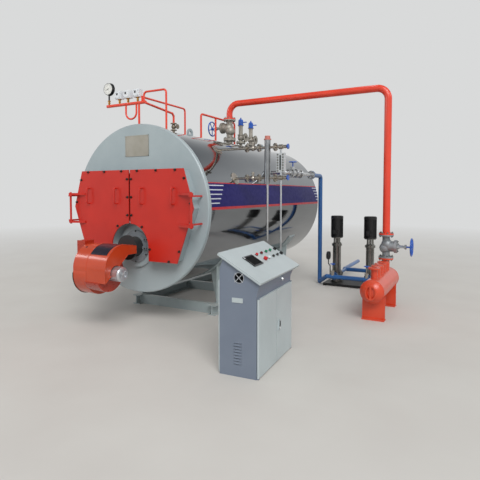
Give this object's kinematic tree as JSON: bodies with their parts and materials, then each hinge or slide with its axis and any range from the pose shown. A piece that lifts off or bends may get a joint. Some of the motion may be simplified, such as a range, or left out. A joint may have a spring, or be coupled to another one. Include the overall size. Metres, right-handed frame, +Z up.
{
  "type": "packaged fire-tube steam boiler",
  "caption": "Horizontal fire-tube steam boiler with front burner, hinged smoke box doors, steam header, feed pumps and a standing control desk.",
  "frame": {"origin": "on the floor under the boiler axis, at the middle cross member of the base", "axes": "+X to the right seen from the burner end, +Y to the rear along the boiler axis, +Z up"},
  "size_m": [4.1896, 6.4877, 3.324],
  "materials": {
    "drum_cladding": "polished stainless sheet",
    "plate_paint": "semi-gloss paint",
    "door_paint": "gloss paint",
    "burner_paint": "gloss paint",
    "burner_dark": "gloss paint",
    "burner_black": "matt paint",
    "motor_alloy": "die cast",
    "plate_metal": "brushed",
    "valve_casting": "bare casting",
    "wheel_paint": "gloss paint",
    "steam_paint": "gloss paint",
    "feed_paint": "gloss paint",
    "base_paint": "semi-gloss paint",
    "pump_black": "satin paint",
    "pump_steel": "brushed",
    "gauge_black": "moulded",
    "switch_plastic": "moulded",
    "brass_parts": "machined",
    "pipe_steel": "drawn tube",
    "head_paint": "gloss paint",
    "glass_frame": "plated",
    "desk_paint": "powder coat",
    "desk_panel": "powder coat",
    "control_black": "moulded"
  },
  "bodies": {
    "boiler": {"base_frame": "base_paint", "saddles": "base_paint", "shell": "drum_cladding", "front_plate": "plate_paint", "rear_plate": "plate_paint", "flue_outlet": "plate_paint", "smokebox_frame": "plate_paint", "door_hinge_lugs": "door_paint", "burner_plate": "plate_paint", "burner_neck": "burner_black", "burner_duct": "burner_paint", "burner_scroll": "burner_paint", "burner_inlet": "burner_dark", "burner_motor": "motor_alloy", "burner_box": "burner_dark", "nameplate": "plate_metal", "lifting_lugs": "plate_paint", "main_valve_body": "valve_casting", "main_valve_yoke": "valve_casting", "steam_main": "steam_paint", "header_valve_body": "valve_casting", "header_valve_yoke": "valve_casting", "steam_header": "steam_paint", "header_legs": "steam_paint", "safety_valves": "valve_casting", "safety_caps": "wheel_paint", "vent_pipe": "steam_paint", "sensor_pipes": "steam_paint", "sensor_valve": "brass_parts", "sensor_stubs": "brass_parts", "pressure_gauge": "gauge_black", "pressure_switches": "switch_plastic", "level_pipes": "pipe_steel", "level_column": "pipe_steel", "level_head": "head_paint", "level_glass": "glass_frame", "small_wheels": "wheel_paint", "feed_valves": "pipe_steel", "feed_pipe": "feed_paint", "pump_skid": "pump_black", "pump_barrels": "pump_steel", "pump_motors": "pump_black", "pump_delivery": "feed_paint", "pump_valves": "valve_casting", "pump_suction": "feed_paint", "pump_gauge": "gauge_black", "desk_body": "desk_paint", "desk_back": "desk_panel", "desk_lid": "desk_panel", "desk_controls": "control_black"},
    "door_left": {"door_left": "door_paint", "door_left_fittings": "door_paint"},
    "door_right": {"door_right": "door_paint", "door_right_fittings": "door_paint"},
    "main_wheel": {"main_valve_wheel": "wheel_paint"},
    "header_wheel": {"header_valve_wheel": "wheel_paint"},
    "feed_hand_wheel": {"feed_wheel": "wheel_paint"},
    "desk_leaf_left": {"desk_door_left": "desk_panel"},
    "desk_leaf_right": {"desk_door_right": "desk_panel"}
  },
  "joints": [
    {"name": "door_left_swing", "type": "hinge", "parent": "boiler", "child": "door_left", "pos_m": [-0.996, -2.299, 1.5], "axis": [0, 0, -1], "range_deg": [0, 16]},
    {"name": "door_right_swing", "type": "hinge", "parent": "boiler", "child": "door_right", "pos_m": [0.996, -2.299, 1.5], "axis": [0, 0, 1], "range_deg": [0, 110]},
    {"name": "main_valve_turn", "type": "hinge", "parent": "boiler", "child": "main_wheel", "pos_m": [-0.362, 0.35, 2.86], "axis": [-1, 0, 0], "continuous": true},
    {"name": "header_valve_turn", "type": "hinge", "parent": "boiler", "child": "header_wheel", "pos_m": [3.072, 0.35, 0.905], "axis": [1, 0, 0], "continuous": true},
    {"name": "feed_valve_turn", "type": "hinge", "parent": "boiler", "child": "feed_hand_wheel", "pos_m": [1.31, 0.08, 2.195], "axis": [0, 0, 1], "continuous": true},
    {"name": "desk_left_swing", "type": "hinge", "parent": "boiler", "child": "desk_leaf_left", "pos_m": [2.19272, -2.97944, 0.4], "axis": [0, 0, -1], "range_deg": [0, 110]},
    {"name": "desk_right_swing", "type": "hinge", "parent": "boiler", "child": "desk_leaf_right", "pos_m": [2.13644, -2.05916, 0.4], "axis": [0, 0, 1], "range_deg": [0, 110]}
  ]
}
